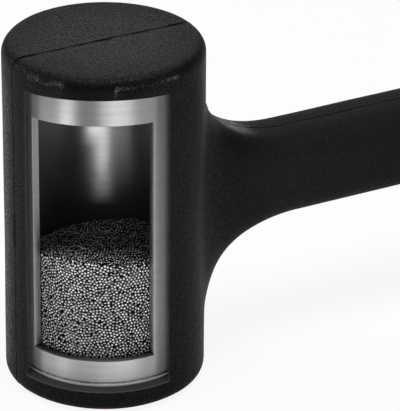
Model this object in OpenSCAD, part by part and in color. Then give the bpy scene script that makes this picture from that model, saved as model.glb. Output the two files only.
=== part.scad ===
// Dead blow hammer, cut open for display.
// A one-piece urethane casting covers a steel canister of loose shot and a steel rod handle.
// A window in the jacket shows the canister, and a port in the canister shows the shot.
// The head stands on its lower striking face at z = 0, and the handle runs along +X.

/* [Head] */
// Diameter of the head
head_d = 63.5; // [56:0.5:76]
// Length of the head from face to face
head_len = 114.3; // [104:0.1:130]
// Rounding of both rims of the head
rim_r = 4; // [2:0.5:5]
// Urethane between a striking face and the end plug behind it
face_t = 5.2; // [4.5:0.1:10]
// Urethane around the canister
jacket_t = 3.75; // [3:0.25:6]

/* [Canister] */
// Wall of the canister tube
tube_wall = 2.5; // [1.5:0.25:4]
// Thickness of an end plug's flange
flange_t = 3.7; // [3.5:0.1:5]
// Length of an end plug's spigot inside the tube
spigot_len = 4; // [3:0.5:10]
// Leg of the weld bead between the tube and a flange
bead_leg = 0.4; // [0.3:0.1:1]

/* [Windows] */
// Direction that the jacket window faces, counted from the handle
window_az = -123.2; // [-140:0.1:-115]
// Width of the jacket window between its straight sides
window_w = 44.5; // [40:0.1:50]
// Rise of the jacket window's lower edge above the outer face of the lower plug
window_low = 2.6; // [1.2:0.1:3]
// Drop of the jacket window's upper edge below the outer face of the upper plug, where it is highest
window_drop = 1.4; // [1.2:0.1:3]
// Direction that the canister port faces, counted from the handle
port_az = -126.5; // [-140:0.1:-115]
// Angle that the canister port spans
port_span = 84.7; // [60:0.1:90]
// Steel left showing below the canister port
port_low = 8.7; // [8:0.1:14]
// Steel left showing above the canister port, where it is highest
port_drop = 10.1; // [9:0.1:30]
// Slope of the upper edges of the window and the port, which rise outwards
cut_slope = 9; // [0:0.5:12]
// Direction in which those edges rise, counted from the handle
cut_az = -114.8; // [-130:0.1:-105]

/* [Shot] */
// Depth of the shot on the canister's axis
shot_depth = 33.3; // [20:0.1:40]
// Slope of the shot's top, which rises towards the canister port
shot_slope = 12.5; // [0:0.5:20]
// Clearance between the shot and the canister's bore
shot_gap = 0.3; // [0.2:0.05:0.5]

/* [Handle] */
// Length of the hammer from the far side of the head to the butt
hammer_len = 355.6; // [320:0.1:420]
// Height of the handle behind the neck
handle_h = 28; // [26:0.1:32]
// Width of the handle behind the neck
handle_w = 27; // [25:0.1:32]
// Squareness of the handle's section, where 2 is an ellipse
handle_power = 3.1; // [2:0.1:4]
// Length of the neck beyond the side of the head
neck_len = 32.5; // [26:0.5:45]
// Spread of the neck above and below the handle
neck_rise = 26; // [15:0.5:28]
// Radius of the neck's hollow, seen from above
neck_r = 42.5; // [28:0.5:50]
// Length of the grip's swell
grip_len = 130; // [100:1:150]
// Swell of the grip on every side
grip_swell = 1.4; // [0:0.1:3]
// Number of grooves round the grip
groove_count = 14; // [2:1:16]
// Distance from one groove to the next
groove_pitch = 8; // [6:0.5:8.5]
// Width of a groove
groove_w = 2.4; // [1.5:0.1:4]
// Depth of a groove
groove_depth = 0.7; // [0.2:0.05:1]
// Length of the flare at the butt
butt_len = 24; // [16:1:40]
// Flare of the butt on every side
butt_flare = 2.6; // [0:0.1:4]
// Rounding of the butt's end
butt_r = 5; // [3:0.5:7]

/* [Core] */
// Diameter of the steel rod in the handle
rod_d = 12.7; // [10:0.1:14]
// Outside diameter of the socket that is welded to the canister
socket_d = 20; // [18:0.5:22]
// Length of the socket beyond the side of the canister
socket_len = 24; // [20:0.5:30]
// Depth of the open space between the canister and the rod's end
socket_relief = 3; // [2:0.5:6]
// Height of the weld bead along the socket
weld_len = 4; // [3:0.5:6]
// Spread of the weld bead for each millimetre of its height
weld_spread = 0.6; // [0.4:0.05:0.7]
// Diameter of the cross pin that locks the rod in the socket
pin_d = 4; // [3:0.5:5]
// Distance from the socket's open end to the cross pin
pin_inset = 9; // [6:0.5:10]
// Outside diameter of the anchor washer at the rod's far end
anchor_d = 20; // [17:0.5:22]
// Thickness of the anchor washer
anchor_t = 4; // [3:0.5:8]
// Urethane between the rod's far end and the butt's end
butt_cover = 10; // [8:0.5:16]

/* [Fits] */
// Clearance of each steel piece in the hole that holds it
slip_gap = 0.05; // [0.02:0.01:0.1]
// Clearance between the cast urethane and the steel inside it
cast_gap = 0.05; // [0.02:0.01:0.1]
// Root gap between the canister and the coped end of the socket
root_gap = 0.2; // [0.1:0.05:0.4]

/* [Hidden] */
$fn = 96;

// Head and canister
head_r = head_d / 2;
mid_z = head_len / 2;
tube_r = head_r - jacket_t;
bore_r = tube_r - tube_wall;
joint_z = face_t + flange_t;
floor_z = joint_z + spigot_len;

// Windows
window_z = [face_t + window_low, head_len - face_t - window_drop];
port_z = [window_z[0] + port_low, window_z[1] - port_drop];

// Handle, neck and core along X
butt_x = hammer_len - head_r;
neck_x = head_r + neck_len;
neck_bite = 0.6;
root_bite = 1.5;
neck_root_x = head_r - root_bite;
meet_r = head_r - neck_bite;
hollow_x = sqrt(pow(meet_r + neck_r, 2) - pow(handle_w / 2 + neck_r, 2));
loft_x = meet_r * hollow_x / (meet_r + neck_r);
grip_x = butt_x - butt_len - grip_len;
flare_run = 0.75;
groove_run = (groove_count - 1) * groove_pitch;
groove_x = grip_x + (grip_len - groove_run) / 2;
grooved_x = [groove_x - groove_w / 2, groove_x + groove_run + groove_w / 2];
socket_x = tube_r + socket_len;
rod_x = [tube_r + socket_relief, butt_x - butt_cover];
pin_x = socket_x - pin_inset;
weld_x = tube_r + weld_len;
weld_back = tube_r - socket_d / 2;

// Loft of the neck and handle
loft_sides = 48;
neck_rings = 14;
shaft_rings = 13;
tail_rings = 7;
butt_rings = 5;

function clamp01(t) = min(1, max(0, t));
function smooth(t) = let (c = clamp01(t)) c * c * (3 - 2 * c);
function power(c, e) = sign(c) * pow(abs(c), e);

// Depth of the nearest groove at station x, a parabola across its width
function groove(x) =
    let (k = min(groove_count - 1, max(0, round((x - groove_x) / groove_pitch))))
    let (off = (x - groove_x - k * groove_pitch) / (groove_w / 2))
    groove_depth * max(0, 1 - off * off);

// Growth of the section at station x: grip swell and butt flare, less the grooves
function growth(x) =
    grip_swell * pow(sin(180 * clamp01((x - grip_x) / grip_len)), 2)
    + butt_flare * smooth((x - butt_x + butt_len) / (butt_len * flare_run))
    - groove(x);

// Quarter ellipse that carries the handle's top and underside into the head's side
function neck_spread(x) =
    let (t = clamp01((neck_x - x) / (neck_x - neck_root_x)))
    neck_rise * (1 - sqrt(1 - t * t));

// Arc that carries the handle's sides into the head's side
function neck_hollow(x) =
    let (d = min(neck_r, max(0, hollow_x - x)))
    neck_r - sqrt(neck_r * neck_r - d * d);

// Inset of the section where the butt's end is rounded
function butt_inset(x) =
    let (d = max(0, x - butt_x + butt_r))
    butt_r - sqrt(butt_r * butt_r - d * d);

function half_h(x) = handle_h / 2 + neck_spread(x) + growth(x) - butt_inset(x);
function half_w(x) = handle_w / 2 + neck_hollow(x) + growth(x) - butt_inset(x);

// Stations of the loft's rings, three of them across each groove
function stations() = concat(
    [for (i = [0 : neck_rings - 1]) loft_x + (neck_x - loft_x) * i / neck_rings],
    [for (i = [0 : shaft_rings - 1]) neck_x + (grooved_x[0] - neck_x) * i / shaft_rings],
    [for (i = [0 : groove_count - 1], s = [-0.5, 0, 0.5]) groove_x + i * groove_pitch + s * groove_w],
    [for (i = [1 : tail_rings - 1]) grooved_x[1] + (butt_x - butt_r - grooved_x[1]) * i / tail_rings],
    [for (i = [0 : butt_rings]) butt_x - butt_r + butt_r * sin(90 * i / butt_rings)]);

function section(x) =
    [for (k = [0 : loft_sides - 1])
        let (a = 360 * k / loft_sides, e = 2 / handle_power)
        [x, half_w(x) * power(cos(a), e), mid_z + half_h(x) * power(sin(a), e)]];

// Closed loft through rings of equal count, with triangles between them and a flat cap at each end
module loft(rings) {
    n = len(rings[0]);
    last = (len(rings) - 1) * n;
    sides = [for (i = [0 : len(rings) - 2], k = [0 : n - 1])
        let (a = i * n + k, b = i * n + (k + 1) % n)
        each [[a, a + n, b], [b, a + n, b + n]]];
    caps = [[for (k = [0 : n - 1]) k], [for (k = [n - 1 : -1 : 0]) last + k]];
    polyhedron([for (r = rings) each r], concat(sides, caps));
}

// Round bar along X on the handle's axis, between two stations
module bar(x, r) {
    translate([x[0], 0, mid_z]) rotate([0, 90, 0]) cylinder(h = x[1] - x[0], r = r);
}

// Upright cylinder of the canister's outside, grown by a gap and long enough to cope what meets it
module canister_cut(gap) {
    cylinder(h = head_len, r = tube_r + gap);
}

module head_profile() {
    translate([0, rim_r]) square([head_r, head_len - 2 * rim_r]);
    square([head_r - rim_r, head_len]);
    for (z = [rim_r, head_len - rim_r]) translate([head_r - rim_r, z]) circle(rim_r);
}

// The steel skeleton's outside with the casting clearance around it
module skeleton_space() {
    translate([0, 0, face_t - cast_gap])
        cylinder(h = head_len - 2 * face_t + 2 * cast_gap, r = tube_r + cast_gap);
    bar([0, socket_x + cast_gap], socket_d / 2 + cast_gap);
    bar([0, rod_x[1] + cast_gap], rod_d / 2 + cast_gap);
    bar([rod_x[1] - anchor_t - cast_gap, rod_x[1] + cast_gap], anchor_d / 2 + cast_gap);
    weld_cone(cast_gap);
}

// What a cut leaves standing above its sloping upper edge, which is z high at radius r
module above_edge(z, r) {
    rotate([0, 0, cut_az])
        translate([r, 0, z])
            rotate([0, -cut_slope, 0])
                translate([-2 * head_d, -head_d, 0])
                    cube([3 * head_d, 2 * head_d, head_d]);
}

module window_cut() {
    difference() {
        rotate([0, 0, window_az])
            translate([0, -window_w / 2, window_z[0]])
                cube([head_d, window_w, head_len - window_z[0]]);
        above_edge(window_z[1], head_r);
    }
}

module port_cut() {
    edge = port_span / 2;
    wedge = [for (a = [-edge, 0, edge]) head_d * [cos(port_az + a), sin(port_az + a)]];
    difference() {
        translate([0, 0, port_z[0]])
            linear_extrude(head_len - port_z[0])
                polygon(concat([[0, 0]], wedge));
        above_edge(port_z[1], tube_r);
    }
}

module weld_cone(gap) {
    back_r = socket_d / 2 + weld_spread * (weld_x - weld_back);
    translate([weld_back, 0, mid_z])
        rotate([0, 90, 0])
            cylinder(h = weld_x + gap - weld_back, r1 = back_r + gap, r2 = socket_d / 2 + gap);
}

module end_plug() {
    spigot_r = bore_r - slip_gap;
    rotate_extrude()
        polygon([[0, face_t], [tube_r, face_t], [tube_r, joint_z - bead_leg], [tube_r - bead_leg, joint_z],
            [spigot_r, joint_z], [spigot_r, floor_z], [0, floor_z]]);
}

module plug_weld() {
    rotate_extrude()
        polygon([[tube_r - bead_leg, joint_z], [tube_r, joint_z - bead_leg], [tube_r, joint_z + bead_leg]]);
}

module at_upper_end() {
    translate([0, 0, head_len]) mirror([0, 0, 1]) children();
}

module urethane_jacket() {
    color("#262626")
        difference() {
            union() {
                rotate_extrude() head_profile();
                loft([for (x = stations()) section(x)]);
            }
            skeleton_space();
            window_cut();
        }
}

module canister_tube() {
    top_z = head_len - joint_z;
    color("#b4b4b4")
        difference() {
            rotate_extrude()
                polygon([[bore_r, joint_z], [tube_r - bead_leg, joint_z], [tube_r, joint_z + bead_leg],
                    [tube_r, top_z - bead_leg], [tube_r - bead_leg, top_z], [bore_r, top_z]]);
            port_cut();
        }
}

module upper_end_plug() {
    color("#a0a0a0") at_upper_end() end_plug();
}

module lower_end_plug() {
    color("#a0a0a0") end_plug();
}

module upper_plug_weld() {
    color("#707070") at_upper_end() plug_weld();
}

module lower_plug_weld() {
    color("#707070") plug_weld();
}

module handle_socket() {
    color("#909090")
        difference() {
            bar([0, socket_x], socket_d / 2);
            bar([0, socket_x + socket_d], rod_d / 2 + slip_gap);
            canister_cut(root_gap);
            translate([pin_x, 0, mid_z]) cylinder(h = head_len, r = pin_d / 2 + slip_gap, center = true);
        }
}

module socket_weld() {
    color("#707070")
        difference() {
            weld_cone(0);
            bar([0, head_d], socket_d / 2 + slip_gap);
            canister_cut(slip_gap);
        }
}

module handle_rod() {
    color("#8c8c8c")
        difference() {
            bar(rod_x, rod_d / 2);
            translate([pin_x, 0, mid_z]) cylinder(h = head_len, r = pin_d / 2 + slip_gap, center = true);
        }
}

module rod_pin() {
    flush_h = sqrt(pow(socket_d / 2, 2) - pow(pin_d / 2, 2));
    color("#8c8c8c")
        translate([pin_x, 0, mid_z]) cylinder(h = 2 * flush_h, r = pin_d / 2, center = true);
}

module anchor_washer() {
    color("#909090")
        difference() {
            bar([rod_x[1] - anchor_t, rod_x[1]], anchor_d / 2);
            bar([rod_x[0], butt_x], rod_d / 2 + slip_gap);
        }
}

module shot_charge() {
    r = bore_r - shot_gap;
    color("#5a5a5a")
        difference() {
            translate([0, 0, floor_z]) cylinder(h = shot_depth + r, r = r);
            translate([0, 0, floor_z + shot_depth])
                rotate([0, 0, port_az])
                    rotate([0, -shot_slope, 0])
                        translate([-head_d, -head_d, 0])
                            cube([2 * head_d, 2 * head_d, head_d]);
        }
}

urethane_jacket();
canister_tube();
upper_end_plug();
lower_end_plug();
upper_plug_weld();
lower_plug_weld();
handle_socket();
socket_weld();
handle_rod();
rod_pin();
anchor_washer();
shot_charge();
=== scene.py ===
"""Looks of a dead blow hammer that is cut open for display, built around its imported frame.

The head stands on its lower striking face at z = 0 and the handle runs along +X. Sizes in the classes
are millimetres and angles are degrees. Meshes, the faces of lamps and the camera's clip are in metres.
"""
from __future__ import annotations

import logging
import math
from collections.abc import Callable
from dataclasses import dataclass
from enum import Enum

import bpy
import numpy as np
from mathutils import Matrix, Vector


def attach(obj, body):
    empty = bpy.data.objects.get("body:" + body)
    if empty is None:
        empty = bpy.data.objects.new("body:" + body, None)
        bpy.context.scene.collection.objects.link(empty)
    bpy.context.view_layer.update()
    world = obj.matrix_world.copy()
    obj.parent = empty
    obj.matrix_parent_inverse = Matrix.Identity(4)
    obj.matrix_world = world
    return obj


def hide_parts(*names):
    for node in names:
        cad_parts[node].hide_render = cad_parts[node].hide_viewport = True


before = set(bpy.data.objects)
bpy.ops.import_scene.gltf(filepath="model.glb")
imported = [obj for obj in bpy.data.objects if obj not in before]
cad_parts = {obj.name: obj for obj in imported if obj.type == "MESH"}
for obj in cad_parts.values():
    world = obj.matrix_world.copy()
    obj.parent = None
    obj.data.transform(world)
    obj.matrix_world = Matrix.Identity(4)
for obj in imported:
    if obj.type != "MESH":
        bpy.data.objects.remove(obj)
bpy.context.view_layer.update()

LOG = logging.getLogger("hammer")
MM = 0.001
Array = np.ndarray
Colour = tuple[float, float, float, float]
Pair = tuple[float, float]
Triple = tuple[float, float, float]


class Body(Enum):
    """Bodies that move on their own."""

    HAMMER = "hammer"
    SHOT = "shot"


class Slot(Enum):
    """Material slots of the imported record."""

    URETHANE = "urethane"
    CANISTER = "canister_steel"
    SHOT = "shot_steel"


def grey(level: float) -> Colour:
    """Opaque neutral colour of that linear level."""
    return (level, level, level, 1.0)


def middle_half(ends: Pair) -> Pair:
    """Middle of a range and half its length."""
    return sum(ends) / 2, (ends[1] - ends[0]) / 2


def ease(cells: int, power: float) -> Array:
    """Steps from 0 to 1 whose cells widen from the start, as the share of the count to a power."""
    return (np.arange(cells + 1) / cells) ** power


def smooth(t: Array) -> Array:
    """Smooth step from 0 to 1, the cubic 3t^2 - 2t^3 with t held in that range."""
    c = np.clip(t, 0.0, 1.0)
    return c * c * (3 - 2 * c)


def polar(radius: Array, angle: Array, z: Array) -> Array:
    """Points at a radius and an angle round the head's axis, at height z."""
    radius, angle, z = np.broadcast_arrays(radius, angle, z)
    return np.stack([radius * np.cos(angle), radius * np.sin(angle), z], -1)


def chain(*steps: Array) -> Array:
    """One run of values through several runs that meet end to start."""
    return np.concatenate([steps[0]] + [s[1:] for s in steps[1:]])


def spaced(stops: list[float], cells: list[int]) -> Array:
    """One run of values through stops, with a number of even cells between each two of them."""
    return chain(*[np.linspace(a, b, n + 1) for a, b, n in zip(stops, stops[1:], cells)])


class Sock:
    """Output of a node that works in expressions, where each operator adds one Math node."""

    def __init__(self, board: Board, socket: bpy.types.NodeSocket) -> None:
        """Hold the socket and the board that its expressions grow on."""
        self.board = board
        self.socket = socket

    def __add__(self, other: Sock | float) -> Sock:
        """Sum."""
        return self.board.math("ADD", self, other)

    __radd__ = __add__

    def __sub__(self, other: Sock | float) -> Sock:
        """Difference."""
        return self.board.math("SUBTRACT", self, other)

    def __rsub__(self, other: float) -> Sock:
        """Difference from a number."""
        return self.board.math("SUBTRACT", other, self)

    def __mul__(self, other: Sock | float) -> Sock:
        """Product."""
        return self.board.math("MULTIPLY", self, other)

    __rmul__ = __mul__

    def __pow__(self, other: float) -> Sock:
        """Power."""
        return self.board.math("POWER", self, other)

    def swing(self, share: float) -> Sock:
        """Swing about the middle of the range from 0 to 1, times a share."""
        return (self - 0.5) * share

    def hump(self) -> Sock:
        """Parabola that is 1 where the value is a half, and 0 where it is 0 or 1."""
        return 4.0 * self * (1.0 - self)


class Board:
    """Node tree that grows from Python expressions."""

    FIRST_COLOUR, SECOND_COLOUR, MIXED_COLOUR = 6, 7, 2

    def __init__(self, tree: bpy.types.NodeTree) -> None:
        """Hold the node tree."""
        self.tree = tree

    def feed(self, target: bpy.types.NodeSocket, value: object) -> None:
        """Link an output to a socket, or set a plain value on it.

        Args:
            target: Socket that takes the value.
            value: Output of another node, or a number, colour or vector.
        """
        if isinstance(value, Sock):
            self.tree.links.new(value.socket, target)
        else:
            target.default_value = value

    def node(self, kind: str, inputs: dict[str | int, object], output: str | int = 0,
             **settings: object) -> Sock:
        """Add a node.

        Args:
            kind: Type name of the node.
            inputs: Value or link for each named or numbered socket.
            output: Name or number of the output to return.
            **settings: Properties of the node, which are set before its sockets.

        Returns:
            The chosen output.
        """
        node = self.tree.nodes.new(kind)
        for name, value in settings.items():
            setattr(node, name, value)
        for key, value in inputs.items():
            self.feed(node.inputs[key], value)
        return Sock(self, node.outputs[output])

    def close(self, kind: str, surface: Sock) -> None:
        """Add the tree's output node and link a surface to it."""
        self.feed(self.tree.nodes.new(kind).inputs["Surface"], surface)

    def math(self, operation: str, first: Sock | float, second: Sock | float) -> Sock:
        """Result of one Math node."""
        return self.node("ShaderNodeMath", {0: first, 1: second}, operation=operation)

    def step(self, value: Sock, low: float, high: float) -> Sock:
        """Smooth step of a value, from 0 at low to 1 at high."""
        sockets = {"Value": value, "From Min": low, "From Max": high}
        return self.node("ShaderNodeMapRange", sockets, interpolation_type="SMOOTHSTEP")

    def place(self, scale: Triple = (1.0, 1.0, 1.0)) -> Sock:
        """Object coordinates in millimetres, stretched by a scale on each axis."""
        where = self.node("ShaderNodeTexCoord", {}, "Object")
        return self.node("ShaderNodeMapping", {"Vector": where, "Scale": Vector(scale) / MM})

    def axes(self, vector: Sock) -> tuple[Sock, Sock, Sock]:
        """Split a vector.

        Args:
            vector: Vector to split.

        Returns:
            Its three parts.
        """
        x = self.node("ShaderNodeSeparateXYZ", {"Vector": vector}, "X")
        outputs = x.socket.node.outputs
        return x, Sock(self, outputs["Y"]), Sock(self, outputs["Z"])

    def radius(self, x: Sock, y: Sock) -> Sock:
        """Distance from the head's axis."""
        return (x * x + y * y) ** 0.5

    def around(self, x: Sock, y: Sock) -> Sock:
        """Angle round the head's axis in radians."""
        return self.math("ARCTAN2", y, x)

    def skin(self) -> Sock:
        """Value that each point of a new piece carries."""
        return self.node("ShaderNodeAttribute", {}, "Fac", attribute_name=Shell.SKIN)

    def noise(self, vector: Sock, scale: float, detail: float = 2.0, roughness: float = 0.5) -> Sock:
        """Cloudy noise between 0 and 1."""
        sockets = {"Vector": vector, "Scale": scale, "Detail": detail, "Roughness": roughness}
        return self.node("ShaderNodeTexNoise", sockets)

    def cells(self, vector: Sock, scale: float) -> Sock:
        """Distance to the nearest of the scattered points of a cell pattern."""
        return self.node("ShaderNodeTexVoronoi", {"Vector": vector, "Scale": scale}, "Distance")

    def mix(self, factor: Sock, first: Sock | Colour, second: Sock | Colour) -> Sock:
        """Colour between two colours."""
        sockets = {0: factor, self.FIRST_COLOUR: first, self.SECOND_COLOUR: second}
        return self.node("ShaderNodeMix", sockets, self.MIXED_COLOUR, data_type="RGBA")

    def bump(self, height: Sock, depth: float) -> Sock:
        """Normal that a height field tilts; the depth is in millimetres."""
        return self.node("ShaderNodeBump", {"Height": height, "Distance": depth * MM})


class Paint(Board):
    """Material with one principled shader."""

    def __init__(self, name: str) -> None:
        """Make the material.

        Args:
            name: Name of the material.
        """
        self.material = bpy.data.materials.new(name)
        self.material.use_nodes = True
        super().__init__(self.material.node_tree)
        self.shader = self.tree.nodes["Principled BSDF"]

    def finish(self, inputs: dict[str, object]) -> bpy.types.Material:
        """Set the shader's sockets.

        Args:
            inputs: Value or link for each named socket of the shader.

        Returns:
            The finished material.
        """
        for name, value in inputs.items():
            self.feed(self.shader.inputs[name], value)
        return self.material


@dataclass(frozen=True)
class Span:
    """Range of a value whose bounds are soft over a half width on both sides."""

    low: float
    high: float
    soft: float

    def mask(self, paint: Paint, value: Sock, unit: float = 1.0) -> Sock:
        """1 where a value lies in the range and 0 outside it.

        Args:
            paint: Board of the nodes.
            value: Value to test.
            unit: Size of the range's unit, counted in the value's.

        Returns:
            The mask.
        """
        rise, fall = (paint.step(value, (end - self.soft) * unit, (end + self.soft) * unit)
                      for end in (self.low, self.high))
        return rise - fall


@dataclass(frozen=True)
class Speckle:
    """Noise that is spread from 0 at a low value to 1 at a high one."""

    scale: float
    low: float
    high: float
    detail: float = 1.0
    roughness: float = 0.5

    def mask(self, paint: Paint, place: Sock) -> Sock:
        """Spread noise at each place."""
        noise = paint.noise(place, self.scale, self.detail, self.roughness)
        return paint.step(noise, self.low, self.high)


@dataclass(frozen=True)
class CastUrethane:
    """Black cast urethane with a fine moulded grain and faint clouds.

    The struck faces are worn pale in their middle. The upper rim is scuffed, the scuffs partly painted
    glints, and part of it is painted shade. A broken line of painted shade deepens the mould seam's
    groove; on the far side the seam has the painted shade of a nick, with painted rim light in specks
    beside it. The window's lower edge and the top of the neck carry painted highlights.
    """

    dark: float = 0.003
    pale: float = 0.0098
    held_dark: float = 0.0075
    held_pale: float = 0.0145
    held_calm: float = 0.4
    held_x: Pair = (34.0, 62.0)
    worn_dark: float = 0.003
    worn_pale: float = 0.052
    worn_fade: float = 0.42
    worn_r: Pair = (12.0, 30.0)
    face_z: float = 114.3
    face_fade: Pair = (0.1, 1.2)
    cut_tone: float = 0.03
    # Painted highlight on the window's rounded lower edge; edge_z keeps it off the other edges.
    edge_highlight: float = 0.05
    edge_z: Pair = (7.5, 12.0)
    roughness: float = 0.56
    cloud_gloss: float = 0.16
    grain_gloss: float = 0.1
    gloss_level: float = 0.015
    fuzz: float = 0.06
    fuzz_roughness: float = 0.3
    glint: float = 0.17
    glint_spots: Speckle = Speckle(2.2, 0.48, 0.62)
    glint_roughness: float = 0.4
    cloud_scale: float = 0.045
    cloud_detail: float = 3.0
    grain: Speckle = Speckle(1.5, 0.28, 0.72)
    grain_share: float = 0.75
    grain_depth: float = 0.1
    pit_scale: float = 0.55
    pit_r: Pair = (0.0, 0.22)
    pit_depth: float = 0.25
    dust_and_glint: float = 0.14
    specks: Speckle = Speckle(0.8, 0.86, 0.9, detail=0.0)
    speck_share: float = 0.3
    ticks: Speckle = Speckle(1.0, 0.45, 0.7)
    tick_stretch: Triple = (3.4, 3.4, 1.6)
    tick_groups: Speckle = Speckle(0.3, 0.35, 0.75)
    # Scuffs on the upper rim: wear whose bright ticks also stand in as painted glints on the rim's edge.
    scuffs: tuple[tuple[Span, Span], ...] = (
        (Span(-111.0, -71.0, 0.6), Span(111.0, 112.0, 0.5)),
        (Span(-165.0, -140.0, 0.6), Span(110.8, 112.4, 0.5)),
        (Span(-111.6, -109.8, 0.6), Span(108.0, 111.4, 0.5)),
    )
    # shade is the dark level of painted shade: on the seam's line, the nick and the patch above the window.
    shade: float = 0.0015
    shade_share: float = 0.75
    shade_calm: float = 0.6
    # shaded is painted shade under the upper rim above the window; the glints are calmed there too.
    shaded: tuple[Span, Span] = (Span(-142.0, -96.0, 10.0), Span(106.0, 112.6, 1.5))
    # Beside the far seam: painted rim light in pale specks, standing for the lit grain of the far half.
    far_painted_light: float = 0.075
    far_share: float = 0.9
    far_x: Pair = (-22.0, -14.0)
    far_y: Pair = (0.0, 7.0)
    far_z: Span = Span(8.0, 104.0, 4.0)
    painted_light_specks: Speckle = Speckle(1.1, 0.43, 0.63, detail=2.0)
    # The seam's line is painted shade that deepens the groove of the mould seam, broken into runs.
    line_share: float = 0.8
    line_y: Span = Span(-0.36, 0.04, 0.1)
    line_spread: float = 0.6
    line_runs: Speckle = Speckle(0.12, 0.4, 0.58, detail=2.0)
    # The nick is painted shade only: a ragged dark patch on the far seam, with no cut in the mesh.
    nick_share: float = 0.85
    nick_y: Span = Span(-1.0, 1.3, 0.4)
    nick_z: Span = Span(50.0, 61.0, 1.0)
    ragged_scale: float = 0.6
    ragged_y: float = 3.0
    ragged_z: float = 6.0
    # Painted highlight on top of the neck, following the grain.
    painted_neck_highlight: float = 0.26
    highlight_x: Span = Span(35.5, 49.0, 5.0)
    highlight_y: Span = Span(-5.0, 4.0, 2.5)

    @staticmethod
    def patch(paint: Paint, around: Sock, z: Sock, spans: tuple[Span, Span]) -> Sock:
        """Mask of a patch of the barrel, between two angles round the head and two heights."""
        return spans[0].mask(paint, around, math.radians(1.0)) * spans[1].mask(paint, z)

    def tones(self, paint: Paint, mottle: Sock, held: Sock, radius: Sock) -> tuple[Sock, Sock]:
        """Colours of the moulded skin and of a striking face, which fades to the skin's at its rim.

        Args:
            paint: Board of the nodes.
            mottle: Grain and clouds.
            held: Mask of the handle.
            radius: Distance from the head's axis.

        Returns:
            Both colours.
        """
        deep = paint.mix(held, grey(self.dark), grey(self.held_dark))
        light = paint.mix(held, grey(self.pale), grey(self.held_pale))
        body = paint.mix(mottle, deep, light)
        worn = paint.mix(mottle, grey(self.worn_dark), grey(self.worn_pale))
        return body, paint.mix(paint.step(radius, *self.worn_r) * self.worn_fade, worn, body)

    def rim_marks(self, paint: Paint, place: Sock, around: Sock, z: Sock) -> tuple[Sock, Sock]:
        """Masks of the dusty scuffs on the upper rim, partly painted glints, and of the painted shade
        there.

        Args:
            paint: Board of the nodes.
            place: Place on the piece.
            around: Angle round the head's axis.
            z: Height.

        Returns:
            Both masks.
        """
        ticks = self.ticks.mask(paint, paint.place(self.tick_stretch)) * self.tick_groups.mask(paint, place)
        scuff = sum(self.patch(paint, around, z, spans) for spans in self.scuffs) * ticks
        return scuff, self.patch(paint, around, z, self.shaded)

    def side_marks(self, paint: Paint, place: Sock, axes: tuple[Sock, Sock, Sock]) -> tuple[Sock, Sock]:
        """Masks of painted rim light in specks beside the far seam, and of the nick's painted shade.

        Args:
            paint: Board of the nodes.
            place: Place on the piece.
            axes: The place's three parts.

        Returns:
            Both masks.
        """
        x, y, z = axes
        side = 1.0 - paint.step(x, *self.far_x)
        far = side * paint.step(y, *self.far_y) * self.far_z.mask(paint, z) * self.painted_light_specks.mask(paint, place)
        ragged = paint.noise(place, self.ragged_scale)
        along = self.nick_y.mask(paint, y + ragged.swing(self.ragged_y))
        return far, side * along * self.nick_z.mask(paint, z + ragged.swing(self.ragged_z))

    def material(self) -> bpy.types.Material:
        """Build the nodes: grain and clouds set tone and gloss, and the marks cover them in turn.

        Returns:
            The material.
        """
        paint = Paint("cast_urethane")
        place = paint.place()
        x, y, z = paint.axes(place)
        skin = paint.skin()
        cloud = paint.noise(place, self.cloud_scale, self.cloud_detail)
        grain = self.grain.mask(paint, place)
        pits = paint.step(paint.cells(place, self.pit_scale), *self.pit_r)
        mottle = grain * self.grain_share + cloud * (1.0 - self.grain_share)
        held = paint.step(x, *self.held_x)
        body, worn = self.tones(paint, mottle, held, paint.radius(x, y))
        near, past = self.face_fade
        struck = paint.step(z, self.face_z - past, self.face_z - near) + 1.0 - paint.step(z, near, past)
        # Painted shade along the mould seam's groove, wider on the struck faces.
        line = self.line_y.mask(paint, y * (1.0 - struck * self.line_spread))
        line = line * self.line_runs.mask(paint, place) * skin
        far, nick = self.side_marks(paint, place, (x, y, z))
        scuff, shade = self.rim_marks(paint, place, paint.around(x, y), z)
        # Painted highlight on top of the neck.
        painted_light = self.highlight_x.mask(paint, x) * self.highlight_y.mask(paint, y) * mottle
        tone = paint.mix(skin, grey(self.cut_tone), paint.mix(struck, body, worn))
        covers = (
            # Painted highlight on the window's rounded lower edge.
            (skin.hump() * (1.0 - paint.step(z, *self.edge_z)), self.edge_highlight),
            # Painted rim light in specks beside the far seam.
            (far * self.far_share, self.far_painted_light),
            # Painted shade of the seam's line.
            (line * self.line_share, self.shade),
            # Painted shade of the nick.
            (nick * self.nick_share, self.shade),
            # Painted shade under the upper rim, above the window.
            (shade * self.shade_share, self.shade),
            (painted_light, self.painted_neck_highlight),
            # Dusty scuffs, partly painted glints, and dust specks.
            (scuff + self.specks.mask(paint, place) * self.speck_share, self.dust_and_glint),
        )
        for cover, level in covers:
            tone = paint.mix(cover, tone, grey(level))
        calm = (1.0 - shade * self.shade_calm) * (1.0 - nick) * (1.0 - line) * (1.0 - held * self.held_calm)
        return paint.finish({
            "Base Color": tone,
            "Roughness": self.roughness + cloud.swing(self.cloud_gloss) + grain.swing(self.grain_gloss),
            "Specular IOR Level": self.gloss_level,
            "Coat Weight": self.glint_spots.mask(paint, place) * skin * calm * self.glint,
            "Coat Roughness": self.glint_roughness,
            "Sheen Weight": self.fuzz,
            "Sheen Roughness": self.fuzz_roughness,
            "Normal": paint.bump(grain * skin + pits * self.pit_depth, self.grain_depth),
        })


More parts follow.
